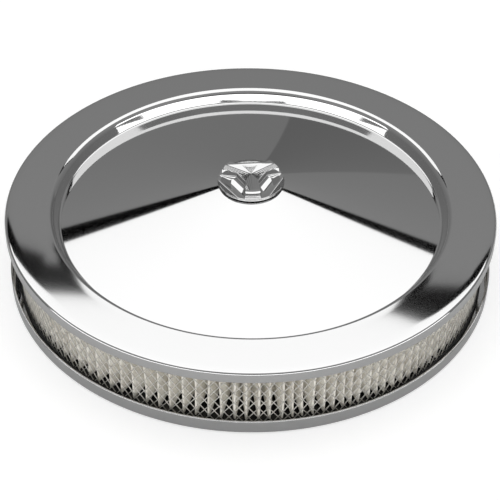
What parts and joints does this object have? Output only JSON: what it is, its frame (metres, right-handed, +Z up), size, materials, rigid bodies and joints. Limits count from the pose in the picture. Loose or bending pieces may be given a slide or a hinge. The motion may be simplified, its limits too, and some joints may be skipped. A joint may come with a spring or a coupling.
{
  "type": "air cleaner",
  "caption": "Round chrome air cleaner: a dished lid and a shallow base clamp a pleated paper ring in wire mesh, held by a three-armed centre nut on a stud.",
  "frame": {"origin": "on the axis, at the underside of the base's outer floor", "axes": "+Z up along the axis through lid, nut and stud; -Y is the front, which the nut's first arm points to"},
  "size_m": [0.3556, 0.3556, 0.0801],
  "materials": {
    "lid": "bright chrome plate on pressed steel",
    "base": "bright chrome plate on pressed steel",
    "gasket": "matt moulded rubber",
    "paper": "resin-treated filter paper",
    "clip": "tinned strip",
    "mesh": "plain expanded metal",
    "seal": "moulded soft plastic",
    "stud": "zinc plate",
    "washer": "moulded nylon",
    "nut": "bright chrome plate on die-cast zinc"
  },
  "bodies": {
    "housing": {"lid": "lid", "base": "base", "neck_gasket": "gasket", "filter_media": "paper", "media_clip": "clip", "outer_mesh": "mesh", "inner_mesh": "mesh", "top_seal": "seal", "bottom_seal": "seal", "centre_stud": "stud"},
    "washer": {"nut_washer": "washer"},
    "nut": {"centre_nut": "nut"}
  },
  "joints": [
    {"name": "nut_lift", "type": "slide", "parent": "housing", "child": "washer", "axis": [0, 0, 1], "range_m": [0, 0.00445]},
    {"name": "nut_turn", "type": "hinge", "parent": "washer", "child": "nut", "pos_m": [0, 0, 0.0713], "axis": [0, 0, 1], "range_deg": [0, 1260]}
  ],
  "couplings": [
    {"joint": "nut_lift", "follows": "nut_turn", "m_per_rad": 0.00020213}
  ]
}
